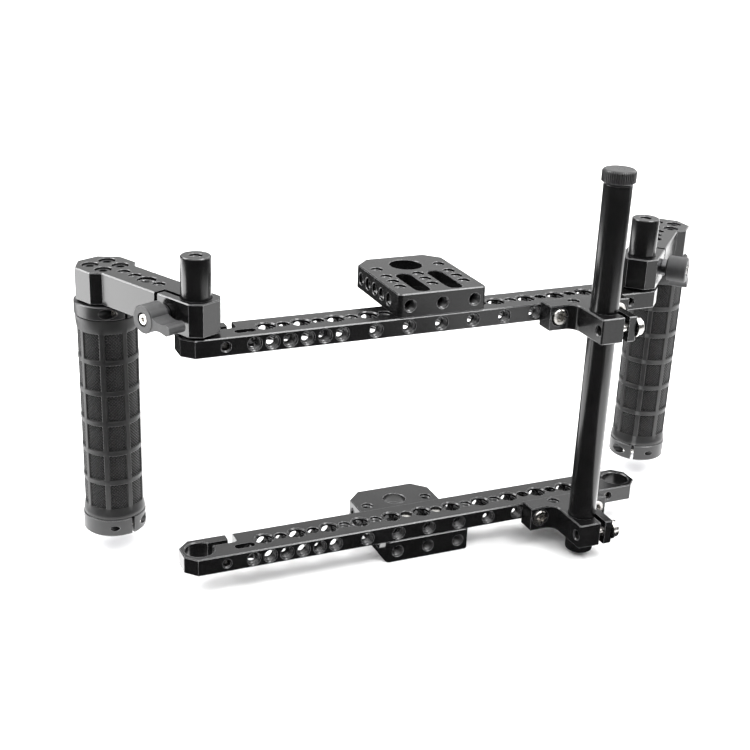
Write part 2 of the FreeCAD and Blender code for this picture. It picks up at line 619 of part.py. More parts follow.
def make_lever():
    """A hub with one curved wing. At no turn the wing lies along the arm, towards the short rod."""
    hub = cylinder(LEVER_HUB_R, LEVER_FACE - WING_IN, V(0, WING_IN, 0), Y_AXIS)
    outer = [e for e in hub.Edges if e.Closed and abs(e.CenterOfMass.y - LEVER_FACE) < 1e-3]
    hub = hub.makeChamfer(0.5, outer)
    neck_length = WING_IN - LEVER_COLLAR_OUT - 0.2
    neck_base = V(0, LEVER_COLLAR_OUT + 0.2, 0)
    neck = Part.makeCone(LEVER_NECK_R, LEVER_HUB_R, neck_length, neck_base, Y_AXIS)
    waist_x = -WING_TIP * 0.55
    tip_x = -WING_TIP + WING_HALF
    root_high = V(-LEVER_HUB_R + 2.0, WING_IN, 3.4)
    root_low = V(-LEVER_HUB_R + 3.6, WING_IN, -5.8)
    nose_high = V(tip_x, WING_IN, WING_HALF - WING_DROP)
    nose_mid = V(-WING_TIP, WING_IN, -WING_DROP)
    nose_low = V(tip_x, WING_IN, -WING_HALF - WING_DROP)
    upper = Part.Arc(root_high, V(waist_x, WING_IN, 0.8), nose_high)
    nose = Part.Arc(nose_high, nose_mid, nose_low)
    lower = Part.Arc(nose_low, V(waist_x, WING_IN, -3.3), root_low)
    closing = Part.LineSegment(root_low, root_high)
    outline = Part.Wire([curve.toShape() for curve in (upper, nose, lower, closing)])
    wing = Part.Face(outline).extrude(V(0, LEVER_FACE - WING_IN - 0.3, 0))
    lever = fuse(hub, neck, wing)
    tools = [cylinder(LEVER_TEETH_R + 0.1, LEVER_TEETH_OUT + 0.2, V(0, 0, 0), Y_AXIS)]
    tools.append(cylinder(LEVER_STUD_R + 0.1, LEVER_STUD_OUT + 0.2, V(0, 0, 0), Y_AXIS))
    tools.append(cylinder(LEVER_SCREW_R + 0.2, LEVER_FACE, V(0, 0, 0), Y_AXIS))
    tools.append(cylinder(LEVER_SCREW_POCKET_R, LEVER_FACE, V(0, SPRING_SEAT, 0), Y_AXIS))
    return cut(lever, tools)


def make_lever_stud():
    length = LEVER_STUD_OUT + LEVER_STUD_DEPTH
    stud = cylinder(LEVER_STUD_R, length, V(0, -LEVER_STUD_DEPTH, 0), Y_AXIS)
    collar_length = LEVER_COLLAR_OUT - LEVER_COLLAR_IN
    collar = cylinder(LEVER_COLLAR_R, collar_length, V(0, LEVER_COLLAR_IN, 0), Y_AXIS)
    teeth_length = LEVER_TEETH_OUT - LEVER_COLLAR_OUT
    teeth = cylinder(LEVER_TEETH_R, teeth_length, V(0, LEVER_COLLAR_OUT, 0), Y_AXIS)
    grooves = []
    for k in range(TOOTH_COUNT):
        groove_from = V(LEVER_TEETH_R, LEVER_COLLAR_OUT + 0.5, 0)
        groove = cylinder(TOOTH_GROOVE_R, teeth_length - 0.5, groove_from, Y_AXIS)
        groove.rotate(V(0, 0, 0), Y_AXIS, k * 360.0 / TOOTH_COUNT)
        grooves.append(groove)
    stud = cut(fuse(stud, collar, teeth), grooves)
    tap_from = LEVER_SCREW_SEAT - LEVER_SCREW_LENGTH - 1.0
    return stud.cut(cylinder(LEVER_SCREW_R + SCREW_GAP, LEVER_FACE, V(0, tap_from, 0), Y_AXIS))


def make_lever_screw():
    seat = V(0, LEVER_SCREW_SEAT, 0)
    return screw(seat, Y_AXIS, LEVER_SCREW_R, LEVER_SCREW_LENGTH, 2.9, 2.2, 2.5, tip=0.4)


def make_lever_spring():
    """A short spring of square wire about the screw. It pushes the lever in against the stud."""
    helix = Part.makeHelix(SPRING_PITCH, SPRING_PITCH * SPRING_TURNS, SPRING_R)
    half = SPRING_WIRE / 2
    corners = [V(SPRING_R + i * half, 0, j * half) for i, j in ((-1, -1), (1, -1), (1, 1), (-1, 1))]
    section = Part.Wire(Part.makePolygon(corners + [corners[0]]))
    coil = Part.Wire(helix).makePipeShell([section], True, True)
    coil.rotate(V(0, 0, 0), X_AXIS, -90)
    coil.translate(V(0, SPRING_SEAT + half + 0.02, 0))
    return coil


def export(name, shape):
    solids = shape.Solids
    for solid in solids:
        if not solid.isValid() or solid.Volume <= 0:
            raise RuntimeError("bad solid in " + name)
    shape = solids[0] if len(solids) == 1 else Part.makeCompound(solids)
    shape.exportStep("parts/" + name + ".step")
    print(name, len(solids), round(shape.Volume, 1))


def build_frame(prefix, plate_name, z_mid):
    upper = z_mid > PLATE_THICK + RAIL_THICK
    plate_z = z_mid + RAIL_THICK / 2 if upper else 0.0
    axis = Z_AXIS if upper else -Z_AXIS
    seat_z = plate_z + SLOT_LEDGE if upper else PLATE_THICK - SLOT_LEDGE
    export(prefix + "_rail", make_rail(z_mid))
    export(plate_name, make_plate(plate_z, upper))
    export(prefix + "_rod_clamp", make_rod_clamp(z_mid))
    export(prefix + "_clamp_bolts", make_clamp_bolts(z_mid))
    export(prefix + "_pinch_bolt", make_pinch_bolt(z_mid))
    export(prefix + "_pinch_washer", make_clamp_washer(z_mid))
    export(plate_name + "_screws", make_plate_screws(seat_z, axis))
    export(prefix + "_rail_end_screws", make_rail_pinch_screws(z_mid))


def build_handle(prefix, side):
    lever_turn = RIGHT_LEVER_TURN if side > 0 else 0
    top = (TOP_COLLAR_BOTTOM, TOP_COLLAR_TOP, TOP_SLIT_ANGLE, -1)
    bottom = (GRIP_BOTTOM, BOTTOM_COLLAR_TOP, BOTTOM_SLIT_ANGLE, 1)
    screws = Part.makeCompound([make_collar_screw(*top), make_collar_screw(*bottom)])
    pieces = {
        "support_rod": None,
        "handle_arm": make_arm(),
        "handle_screws": make_handle_screws(),
        "grip_core": make_grip_core(),
        "grip_sleeve": make_sleeve(),
        "top_collar": make_collar(*top),
        "bottom_collar": make_collar(*bottom),
        "collar_screws": screws,
        "clamp_lever": place_lever(make_lever(), lever_turn),
        "lever_stud": place_lever(make_lever_stud(), lever_turn),
        "lever_screw": place_lever(make_lever_screw(), lever_turn),
        "lever_spring": place_lever(make_lever_spring(), lever_turn),
    }
    for name, shape in pieces.items():
        placed = make_short_rod(side) if shape is None else place_handle(shape, side)
        export(prefix + "_" + name, placed)


os.makedirs("parts", exist_ok=True)
build_frame("upper", "top_plate", UPPER_Z)
build_frame("lower", "base_plate", LOWER_Z)
export("vertical_rod", make_vertical_rod())
export("rod_cap", make_rod_cap())
build_handle("left", -1)
build_handle("right", 1)
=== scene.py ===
import json
import math

import bmesh
import bpy
from mathutils import Matrix, Vector


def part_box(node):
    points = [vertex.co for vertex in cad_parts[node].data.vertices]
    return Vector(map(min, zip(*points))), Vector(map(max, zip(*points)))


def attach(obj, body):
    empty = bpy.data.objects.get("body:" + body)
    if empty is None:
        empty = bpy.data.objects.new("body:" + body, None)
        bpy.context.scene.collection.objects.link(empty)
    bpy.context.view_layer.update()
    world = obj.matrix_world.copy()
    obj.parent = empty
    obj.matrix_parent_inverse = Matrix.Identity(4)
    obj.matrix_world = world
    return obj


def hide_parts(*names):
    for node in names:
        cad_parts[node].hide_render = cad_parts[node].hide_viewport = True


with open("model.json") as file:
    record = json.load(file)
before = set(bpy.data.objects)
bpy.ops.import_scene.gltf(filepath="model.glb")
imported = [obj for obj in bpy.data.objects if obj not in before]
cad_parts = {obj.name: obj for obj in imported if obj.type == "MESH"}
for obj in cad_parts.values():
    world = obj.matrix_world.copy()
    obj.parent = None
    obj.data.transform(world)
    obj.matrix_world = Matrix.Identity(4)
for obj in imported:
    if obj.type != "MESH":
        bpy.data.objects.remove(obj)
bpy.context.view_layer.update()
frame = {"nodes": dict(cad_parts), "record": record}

# The monitor cage's looks: rubber grips, screw threads, turned rods and a knurled cap on the
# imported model, then its materials, the floor, the lights and the camera. Lengths are in metres.

MM = 0.001
UP = Vector((0, 0, 1))

# Tapped holes, each as its radius, thread pitch and mouth chamfer
HOLE_STEP = 9.15 * MM
SMALL_HOLE = (3.2 * MM, 1.27 * MM, 0.3 * MM)
FRONT_HOLE = (3.2 * MM, 1.27 * MM, 0.6 * MM)
LARGE_HOLE = (4.8 * MM, 1.5875 * MM, 0.5 * MM)
ROD_HOLE = (5.2 * MM, 1.75 * MM, 0.6 * MM)

# Thread ridges: how far they run in, and their section. The half width and depth are shares of the
# pitch, and the crest's flat and the gap at a crossing hole are shares of the half width.
THREAD_SHOWN = 6 * MM
ROD_THREAD_SHOWN = 10 * MM
THREAD_SEGMENTS = 14
THREAD_LEAD_IN = 0.45 * MM
THREAD_HALF_WIDTH = 0.44
THREAD_DEPTH = 0.34
THREAD_FLAT = 0.14
THREAD_OVERLAP = 0.06 * MM
CROSSING_GAP = 0.6
FADE_STEPS = 3
LEAST_STEPS = 6

# Rails: which hole places, counted from the middle, have a hole through the front or the top
RAIL_FRONT_STEPS = (0, 2, 4, 6, 7, 8, 9, 10, 11)
RAIL_LARGE_STEPS = (0, 2, 4, 6, 8, 10)
RAIL_SMALL_STEPS = (3, 5, 7, 9)
RAIL_FRONT_SHOWN = 5.7 * MM
RAIL_END_SHOWN = 4.3 * MM
RAIL_TOP_SPARE = 0.4 * MM

# Plates: the holes' spacing and how far their threads run before they meet another hole
PLATE_ROW_STEP = 8.7 * MM
PLATE_REAR_HOLE = 12.6 * MM
PLATE_SIDE_STEP = 8.95 * MM
PLATE_SIDE_HOLES = 5
PLATE_FRONT_SHOWN = 7.6 * MM
PLATE_CROSSED_SHOWN = 3.2 * MM
PLATE_SIDE_SHOWN = 3.5 * MM

# The arms' holes, as their distance from the short rod, and the clamps' two holes
ARM_HOLES = (
    (3 * HOLE_STEP, SMALL_HOLE), (4 * HOLE_STEP, LARGE_HOLE),
    (5 * HOLE_STEP, SMALL_HOLE), (54.4 * MM, SMALL_HOLE),
)
CLAMP_HOLE_OUT = 7.3 * MM
CLAMP_HOLE_INSET = 5.15 * MM

# Grips: columns of knurled panels between smooth ribs
GRIP_COLUMNS = 8
GRIP_ROWS = 6
PANEL_STEPS_ROUND = 10
PANEL_STEPS_HIGH = 16
RIB_WIDTH = 2.7 * MM
RIB_EDGE = 0.3 * MM
PANEL_WALL = 0.25 * MM
RIB_RADIUS = 15.7 * MM
PANEL_RADIUS = 14.6 * MM
RIB_SHOULDER_RADIUS = 15.52 * MM
KNURL_HEIGHT = 0.62 * MM
FLANGE_RADIUS = 16.4 * MM
FLANGE_HEIGHT = 2.8 * MM
FLANGE_TAPER = 3.2 * MM
TOP_RIB_GAP = 1.6 * MM
GRIP_BORE_PLAY = 0.02 * MM
LEFT_RIB_ANGLE = 245.8
RIGHT_RIB_ANGLE = 229.4

# Rods and the knurled cap
ROD_TAP = 13 * MM
ROD_CHAMFER = 0.55 * MM
CAP_TEETH = 48
CAP_TOOTH_DEPTH = 0.5 * MM
CAP_HEAD_HEIGHT = 7.0 * MM
CAP_STUB_RADIUS = 5.15 * MM
CAP_SIDE_INSET = 0.4 * MM
CAP_DISH_DEPTH = 0.12 * MM
CAP_CENTRE_DEPTH = 0.18 * MM
CAP_CENTRE_RADIUS = 2.0 * MM
CAP_TOOTH_SINK = 0.1 * MM
POINTS_PER_TOOTH = 4
ROUND_SEGMENTS = 96
ON_AXIS = 1e-7

# The camera and the studio
CAMERA_AT = Vector((-288.7, -589.6, 359.1)) * MM
CAMERA_YAW = math.radians(24.30)
CAMERA_PITCH = math.radians(21.92)
CAMERA_ROLL = math.radians(2.38)
CAMERA_LENS = 62.25
FLOOR_RADIUS = 3.2
BACKDROP_RADIUS = 12.0
CARD_HEIGHT = 0.004
WORLD_STRENGTH = 0.04

# Noise mostly lies between these two values
NOISE_LOW = 0.3
NOISE_HIGH = 0.7

# The edge mask's rays, and the cosines between normals where an edge starts and is full
BEVEL_SAMPLES = 4
EDGE_START = 0.995
EDGE_FULL = 0.93


# Mesh helpers


def add_piece(name, bm, body, material, smooth_angle=35):
    """Turns a bmesh into a piece that rides on a CAD body and has one material."""
    bmesh.ops.recalc_face_normals(bm, faces=bm.faces)
    limit = math.cos(math.radians(smooth_angle))
    mesh = bpy.data.meshes.new(name)
    bm.to_mesh(mesh)
    bm.free()
    piece = bpy.data.objects.new(name, mesh)
    bpy.context.scene.collection.objects.link(piece)
    mesh.materials.append(material)
    mesh.shade_smooth()
    sharp = bmesh.new()
    sharp.from_mesh(mesh)
    for edge in sharp.edges:
        faces = edge.link_faces
        edge.smooth = len(faces) == 2 and faces[0].normal.dot(faces[1].normal) > limit
    sharp.to_mesh(mesh)
    sharp.free()
    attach(piece, body)
    return piece


def round_vertex(bm, centre, radius, angle, z):
    """A vertex on the circle of this radius about the upright axis through centre."""
    return bm.verts.new((centre.x + radius * math.cos(angle), centre.y + radius * math.sin(angle), z))


def bridge(bm, first, second):
    """Faces between two rings of the same count, or between a ring and one point."""
    count = max(len(first), len(second))
    for k in range(count):
        n = (k + 1) % count
        if len(first) == 1 and len(second) == 1:
            return
        if len(first) == 1:
            bm.faces.new((first[0], second[n], second[k]))
        elif len(second) == 1:
            bm.faces.new((first[k], first[n], second[0]))
        else:
            bm.faces.new((first[k], first[n], second[n], second[k]))


def lathe(bm, centre, profile):
    """Spins a list of (radius, z) points, from axis to axis, about the upright axis through centre."""
    rings = []
    for radius, z in profile:
        if radius < ON_AXIS:
            rings.append([bm.verts.new((centre.x, centre.y, z))])
            continue
        turns = [2 * math.pi * k / ROUND_SEGMENTS for k in range(ROUND_SEGMENTS)]
        rings.append([round_vertex(bm, centre, radius, angle, z) for angle in turns])
    for lower, upper in zip(rings, rings[1:]):
        bridge(bm, lower, upper)


def thread(bm, mouth, inward, kind, length, crossing=None):
    """A helical thread ridge on a hole's wall, as closed slivers.

    crossing is the (point, axis, radius) of a hole that cuts this one, where the ridge stops.
    """
    radius, pitch, flare = kind
    side = inward.orthogonal().normalized()
    other = inward.cross(side)
    half = THREAD_HALF_WIDTH * pitch
    start = flare + THREAD_LEAD_IN
    steps = max(LEAST_STEPS, int((length - start - 2 * half) / pitch * THREAD_SEGMENTS))
    runs = [[]]
    for k in range(steps + 1):
        angle = 2 * math.pi * k / THREAD_SEGMENTS
        out = side * math.cos(angle) + other * math.sin(angle)
        at = mouth + inward * (start + half + pitch * k / THREAD_SEGMENTS)
        if crossing:
            point, axis, reach = crossing
            away = at + out * radius - point
            if (away - axis * away.dot(axis)).length < reach + CROSSING_GAP * half:
                runs.append([])
                continue
        runs[-1].append((at, out))
    for run in runs:
        if len(run) > 2:
            thread_run(bm, run, inward, radius, THREAD_DEPTH * pitch, half)


def thread_run(bm, run, inward, radius, depth, half):
    """One unbroken length of ridge, which fades in and out at its ends."""
    rows = []
    last = len(run) - 1
    flat = THREAD_FLAT * half
    root = radius + THREAD_OVERLAP
    for k, (at, out) in enumerate(run):
        fade = min(1.0, (k + 0.5) / FADE_STEPS, (last - k + 0.5) / FADE_STEPS)
        section = ((-half, root), (-flat, radius - depth * fade), (flat, radius - depth * fade), (half, root))
        rows.append([bm.verts.new(at + inward * along + out * away) for along, away in section])
    for first, second in zip(rows, rows[1:]):
        bridge(bm, first, second)
    bm.faces.new(rows[0])
    bm.faces.new(rows[-1])


# Materials: every colour, roughness and bump comes from nodes


def start_material(name):
    """A new material with its node tree, its main shader and its object coordinates."""
    material = bpy.data.materials.new(name)
    material.use_nodes = True
    tree = material.node_tree
    coords = tree.nodes.new("ShaderNodeTexCoord").outputs["Object"]
    return material, tree, tree.nodes["Principled BSDF"], coords


def noise(tree, coords, scale, detail=3.0, rough=0.55, stretch=None):
    """Noise over the coordinates. stretch scales the axes, for brushed or turned marks."""
    vector = coords
    if stretch:
        mapping = tree.nodes.new("ShaderNodeMapping")
        mapping.inputs["Scale"].default_value = stretch
        tree.links.new(coords, mapping.inputs["Vector"])
        vector = mapping.outputs["Vector"]
    node = tree.nodes.new("ShaderNodeTexNoise")
    node.inputs["Scale"].default_value = scale
    node.inputs["Detail"].default_value = detail
    node.inputs["Roughness"].default_value = rough
    tree.links.new(vector, node.inputs["Vector"])
    return node.outputs["Fac"]


def remap(tree, value, low, high, to_low, to_high):
    """The value with low to high stretched to to_low to to_high, and held there outside it."""
    node = tree.nodes.new("ShaderNodeMapRange")
    for key, number in zip(("From Min", "From Max", "To Min", "To Max"), (low, high, to_low, to_high)):
        node.inputs[key].default_value = number
    tree.links.new(value, node.inputs["Value"])
    return node.outputs["Result"]


def spread(tree, value, to_low, to_high):
    """Noise stretched to fill to_low to to_high."""
    return remap(tree, value, NOISE_LOW, NOISE_HIGH, to_low, to_high)


def maths(tree, operation, first, second):
    """One operation on two values, each a socket or a plain number."""
    node = tree.nodes.new("ShaderNodeMath")
    node.operation = operation
    for socket, value in zip(node.inputs, (first, second)):
        if isinstance(value, (int, float)):
            socket.default_value = value
        else:
            tree.links.new(value, socket)
    return node.outputs["Value"]


def mix(tree, factor, first, second):
    """Mixes two colours, each a socket or a plain (r, g, b)."""
    node = tree.nodes.new("ShaderNodeMix")
    node.data_type = "RGBA"
    tree.links.new(factor, node.inputs["Factor"])
    for name, value in (("A", first), ("B", second)):
        socket = [s for s in node.inputs if s.name == name and s.type == "RGBA"][0]
        if isinstance(value, tuple):
            socket.default_value = (*value, 1.0)
        else:
            tree.links.new(value, socket)
    return [s for s in node.outputs if s.type == "RGBA"][0]


def bump(tree, shader, layers):
    """Stacks bump layers, each (height, strength, distance)."""
    normal = None
    for height, strength, distance in layers:
        node = tree.nodes.new("ShaderNodeBump")
        node.inputs["Strength"].default_value = strength
        node.inputs["Distance"].default_value = distance
        tree.links.new(height, node.inputs["Height"])
        if normal:
            tree.links.new(normal, node.inputs["Normal"])
        normal = node.outputs["Normal"]
    tree.links.new(normal, shader.inputs["Normal"])


def edge_mask(tree, radius):
    """1 along edges and 0 on flats, from the angle between the rounded and the plain normal."""
    rounded = tree.nodes.new("ShaderNodeBevel")
    rounded.samples = BEVEL_SAMPLES
    rounded.inputs["Radius"].default_value = radius
    plain = tree.nodes.new("ShaderNodeNewGeometry")
    dot = tree.nodes.new("ShaderNodeVectorMath")
    dot.operation = "DOT_PRODUCT"
    tree.links.new(rounded.outputs["Normal"], dot.inputs[0])
    tree.links.new(plain.outputs["Normal"], dot.inputs[1])
    return remap(tree, dot.outputs["Value"], EDGE_START, EDGE_FULL, 0, 1)


def anodised(name, shade, low_rough, high_rough, edge_wear_and_highlight_shade, grain_scale=4200, stretch=None):
    """Dyed anodised aluminium: an uneven dark dye, a fine blasted grain and edges painted paler, partly as
    wear and partly as a painted highlight.
    """
    material, tree, shader, coords = start_material(name)
    cloud = noise(tree, coords, 60, 5)
    grain = noise(tree, coords, grain_scale, 2, 0.5, stretch)
    speck = noise(tree, coords, 900, 3)
    dark = (shade * 0.75, shade * 0.75, shade * 0.78)
    light = (shade * 1.3, shade * 1.3, shade * 1.34)
    dye = mix(tree, spread(tree, cloud, 0, 1), dark, light)
    # Edges are painted paler: partly wear, partly a painted highlight standing in for the chamfers' bright
    # reflections
    worn_and_highlit_edges = maths(tree, "MULTIPLY", edge_mask(tree, 0.35 * MM), remap(tree, speck, 0.35, 0.6, 0.55, 1))
    colour = mix(tree, worn_and_highlit_edges, dye, (edge_wear_and_highlight_shade, edge_wear_and_highlight_shade, edge_wear_and_highlight_shade * 1.02))
    tree.links.new(colour, shader.inputs["Base Color"])
    both = maths(tree, "ADD", maths(tree, "MULTIPLY", grain, 0.5), maths(tree, "MULTIPLY", cloud, 0.5))
    tree.links.new(spread(tree, both, low_rough, high_rough), shader.inputs["Roughness"])
    bump(tree, shader, [(cloud, 0.02, 0.3 * MM), (grain, 0.08, 0.02 * MM)])
    return material


def steel(name, shade, low_rough, high_rough, stretch=None):
    """Turned or drawn metal without a coat, with fine marks along the stretch and faint stains."""
    material, tree, shader, coords = start_material(name)
    marks = noise(tree, coords, 900, 4, 0.6, stretch)
    stain = noise(tree, coords, 220, 4)
    dark = tuple(c * 0.72 for c in shade)
    colour = mix(tree, spread(tree, stain, 0, 1), dark, shade)
    tree.links.new(colour, shader.inputs["Base Color"])
    shader.inputs["Metallic"].default_value = 1.0
    tree.links.new(spread(tree, marks, low_rough, high_rough), shader.inputs["Roughness"])
    bump(tree, shader, [(stain, 0.05, 0.05 * MM), (marks, 0.1, 0.02 * MM)])
    return material


def rubber(name):
    """Moulded rubber: dark grey with patches of bloom, painted shade in the hollows, a painted highlight on
    the crests and a pitted skin.
    """
    material, tree, shader, coords = start_material(name)
    bloom = noise(tree, coords, 90, 6, 0.6)
    pits = noise(tree, coords, 3200, 3)
    skin = noise(tree, coords, 700, 4)
    colour = mix(tree, remap(tree, bloom, 0.3, 0.72, 0, 1), (0.008, 0.008, 0.0083), (0.016, 0.016, 0.016))
    relief = tree.nodes.new("ShaderNodeNewGeometry").outputs["Pointiness"]
    # Painted shade: the knurl's hollows are darkened in the colour
    colour = mix(tree, remap(tree, relief, 0.44, 0.5, 1, 0), colour, (0.004, 0.004, 0.004))
    # Painted highlight: the knurl's crests are painted paler in the colour
    colour = mix(tree, remap(tree, relief, 0.58, 0.7, 0, 1), colour, (0.05, 0.05, 0.05))
    # Edges are painted paler, partly as wear and partly as a painted highlight
    edge = maths(tree, "MULTIPLY", edge_mask(tree, 0.3 * MM), 0.1)
    colour = mix(tree, edge, colour, (0.06, 0.06, 0.059))
    tree.links.new(colour, shader.inputs["Base Color"])
    tree.links.new(spread(tree, skin, 0.34, 0.48), shader.inputs["Roughness"])
    shader.inputs["Sheen Weight"].default_value = 0.05
    shader.inputs["Sheen Roughness"].default_value = 0.5
    shader.inputs["Specular IOR Level"].default_value = 0.36
    bump(tree, shader, [(skin, 0.12, 0.1 * MM), (pits, 0.2, 0.03 * MM)])
    return material


def cast(name):
    """A powder-coated casting: matte dark grey with a fine orange-peel surface."""
    material, tree, shader, coords = start_material(name)
    peel = noise(tree, coords, 1500, 2)
    cloud = noise(tree, coords, 160, 4)
    colour = mix(tree, spread(tree, cloud, 0, 1), (0.02, 0.02, 0.021), (0.032, 0.032, 0.033))
    # Edges are painted paler, partly as wear and partly as a painted highlight
    edge = maths(tree, "MULTIPLY", edge_mask(tree, 0.4 * MM), 0.5)
    colour = mix(tree, edge, colour, (0.12, 0.12, 0.122))
    tree.links.new(colour, shader.inputs["Base Color"])
    tree.links.new(spread(tree, peel, 0.42, 0.56), shader.inputs["Roughness"])
    bump(tree, shader, [(peel, 0.22, 0.05 * MM), (cloud, 0.05, 0.2 * MM)])
    return material


materials = {
    "black_anodised": anodised("black_anodised", 0.0045, 0.15, 0.24, 0.22),
    "rod_black": anodised("rod_black", 0.0045, 0.17, 0.25, 0.22, 2600, (1, 1, 0.3)),
    "knurled_black": anodised("knurled_black", 0.014, 0.24, 0.34, 0.04),
    "satin_black": anodised("satin_black", 0.01, 0.3, 0.4, 0.12),
    "lever_black": cast("lever_black"),
    "grip_rubber": rubber("grip_rubber"),
    "stainless": steel("stainless", (0.74, 0.72, 0.69), 0.16, 0.34),
    "stainless_dark": steel("stainless_dark", (0.16, 0.16, 0.165), 0.24, 0.4),
    "plain_aluminium": steel("plain_aluminium", (0.56, 0.56, 0.58), 0.28, 0.46, (1, 1, 0.1)),
}


def paint_cad_nodes():
    """Gives each CAD node the material of its slot in the record, and the grips' collars a satin one."""
    for row in frame["record"]["subparts"]:
        node = frame["nodes"][row["node"]]
        if not node.data.materials:
            node.data.materials.append(None)
        look = "satin_black" if row["node"].endswith("_collar") else row["material_slot"]
        for place in node.material_slots:
            place.material = materials[look]


# Rubber grips. A place on the sleeve has a kind each way: "rib" or "edge" beside a panel, a count
# of knurl steps inside one, or a plain radius on the flanges.


def grip_angles(rib_angle):
    """Angles round the sleeve, the first rib at rib_angle, with the kind of each."""
    column = 2 * math.pi / GRIP_COLUMNS
    half_rib = RIB_WIDTH / RIB_RADIUS / 2
    edge = RIB_EDGE / RIB_RADIUS
    wall = PANEL_WALL / RIB_RADIUS
    span = column - 2 * half_rib - 2 * wall
    found = []
    for k in range(GRIP_COLUMNS):
        middle = column * k + math.radians(rib_angle)
        found.append((middle - half_rib, "edge"))
        found.append((middle - half_rib + edge, "rib"))
        found.append((middle + half_rib - edge, "rib"))
        found.append((middle + half_rib, "edge"))
        start = middle + half_rib + wall
        for step in range(PANEL_STEPS_ROUND + 1):
            found.append((start + span * step / PANEL_STEPS_ROUND, step))
    return found


def flange_heights(low, high):
    """Heights and radii of the sleeve's bottom flange, then of its top one, each with a rounded lip."""
    corner = FLANGE_RADIUS - 0.5 * MM
    round_off = FLANGE_RADIUS - 0.1 * MM
    bottom = [
        (low, corner), (low + 0.2 * MM, round_off), (low + 0.6 * MM, FLANGE_RADIUS),
        (low + FLANGE_HEIGHT - 0.4 * MM, round_off), (low + FLANGE_HEIGHT, FLANGE_RADIUS - 0.35 * MM),
    ]
    top = [
        (high - FLANGE_HEIGHT - 1.2 * MM, RIB_RADIUS + 0.45 * MM),
        (high - FLANGE_HEIGHT, FLANGE_RADIUS - 0.2 * MM),
        (high - 0.6 * MM, FLANGE_RADIUS), (high - 0.2 * MM, round_off), (high, corner),
    ]
    return bottom, top


def grip_heights(low, high):
    """Heights up the sleeve with the kind of each."""
    bottom_flange, top_flange = flange_heights(low, high)
    bottom = low + FLANGE_HEIGHT + FLANGE_TAPER
    top = high - FLANGE_HEIGHT - FLANGE_TAPER - TOP_RIB_GAP
    pitch = (top - bottom + RIB_WIDTH) / GRIP_ROWS
    panel = pitch - RIB_WIDTH
    found = bottom_flange
    for row in range(GRIP_ROWS):
        start = bottom + pitch * row
        found += [(start - RIB_EDGE, "rib"), (start, "edge")]
        for step in range(PANEL_STEPS_HIGH + 1):
            share = step / PANEL_STEPS_HIGH
            found.append((start + PANEL_WALL + (panel - 2 * PANEL_WALL) * share, step))
        found += [(start + panel, "edge"), (start + panel + RIB_EDGE, "rib")]
    return found + top_flange


def grip_radius(round_kind, high_kind):
    """The sleeve's radius where these two kinds meet."""
    if isinstance(high_kind, float):
        return high_kind
    if isinstance(round_kind, int) and isinstance(high_kind, int):
        raised = (round_kind + high_kind) % 2 == 0
        return PANEL_RADIUS + (KNURL_HEIGHT if raised else 0.0)
    if "rib" in (round_kind, high_kind):
        return RIB_RADIUS
    return RIB_SHOULDER_RADIUS


def grip_faces(bm, rows, angles, heights):
    """Faces of the sleeve's outside. Knurled squares are split along the line between their low corners."""
    count = len(angles)
    for j in range(len(rows) - 1):
        for i in range(count):
            n = (i + 1) % count
            a, b, c, d = rows[j][i], rows[j][n], rows[j + 1][n], rows[j + 1][i]
            kinds = (angles[i][1], angles[n][1], heights[j][1], heights[j + 1][1])
            if not all(isinstance(kind, int) for kind in kinds):
                bm.faces.new((a, b, c, d))
            elif (angles[i][1] + heights[j][1]) % 2 == 0:
                bm.faces.new((a, b, d))
                bm.faces.new((b, c, d))
            else:
                bm.faces.new((a, b, c))
                bm.faces.new((a, c, d))


def grip_sleeve(side, rib_angle):
    """The lock-on sleeve: six rows of sunk, diamond-knurled panels between smooth ribs."""
    node = side + "_grip_sleeve"
    low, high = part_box(node)
    core_low, core_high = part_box(side + "_grip_core")
    centre = (core_low + core_high) / 2
    inner = (core_high.x - core_low.x) / 2 + GRIP_BORE_PLAY
    angles = grip_angles(rib_angle)
    heights = grip_heights(low.z, high.z)
    bm = bmesh.new()
    rows = []
    for z, high_kind in heights:
        row = []
        for angle, round_kind in angles:
            row.append(round_vertex(bm, centre, grip_radius(round_kind, high_kind), angle, z))
        rows.append(row)
    grip_faces(bm, rows, angles, heights)
    foot = [round_vertex(bm, centre, inner, angle, low.z) for angle, _ in angles]
    head = [round_vertex(bm, centre, inner, angle, high.z) for angle, _ in angles]
    bridge(bm, foot, rows[0])
    bridge(bm, rows[-1], head)
    bridge(bm, head, foot)
    name = side + "_grip_rubber"
    piece = add_piece(name, bm, side + "_handle", materials["grip_rubber"], 30)
    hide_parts(node)


# Turned rods and the knurled cap


def turned_rod(node, body, kind):
    """A rod with rolled edge chamfers and a tapped hole in each end."""
    low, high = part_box(node)
    centre = (low + high) / 2
    radius = (high.x - low.x) / 2
    hole, _, flare = kind
    half = [
        (0, ROD_TAP), (hole, ROD_TAP), (hole, flare), (hole + flare, 0), (radius - ROD_CHAMFER, 0),
        (radius - 0.1 * MM, ROD_CHAMFER * 0.75), (radius, ROD_CHAMFER * 1.2),
    ]
    profile = [(r, low.z + depth) for r, depth in half]
    profile += [(r, high.z - depth) for r, depth in reversed(half)]
    bm = bmesh.new()
    lathe(bm, centre, profile)
    piece = add_piece(node + "_turned", bm, body, materials["rod_black"])
    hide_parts(node)


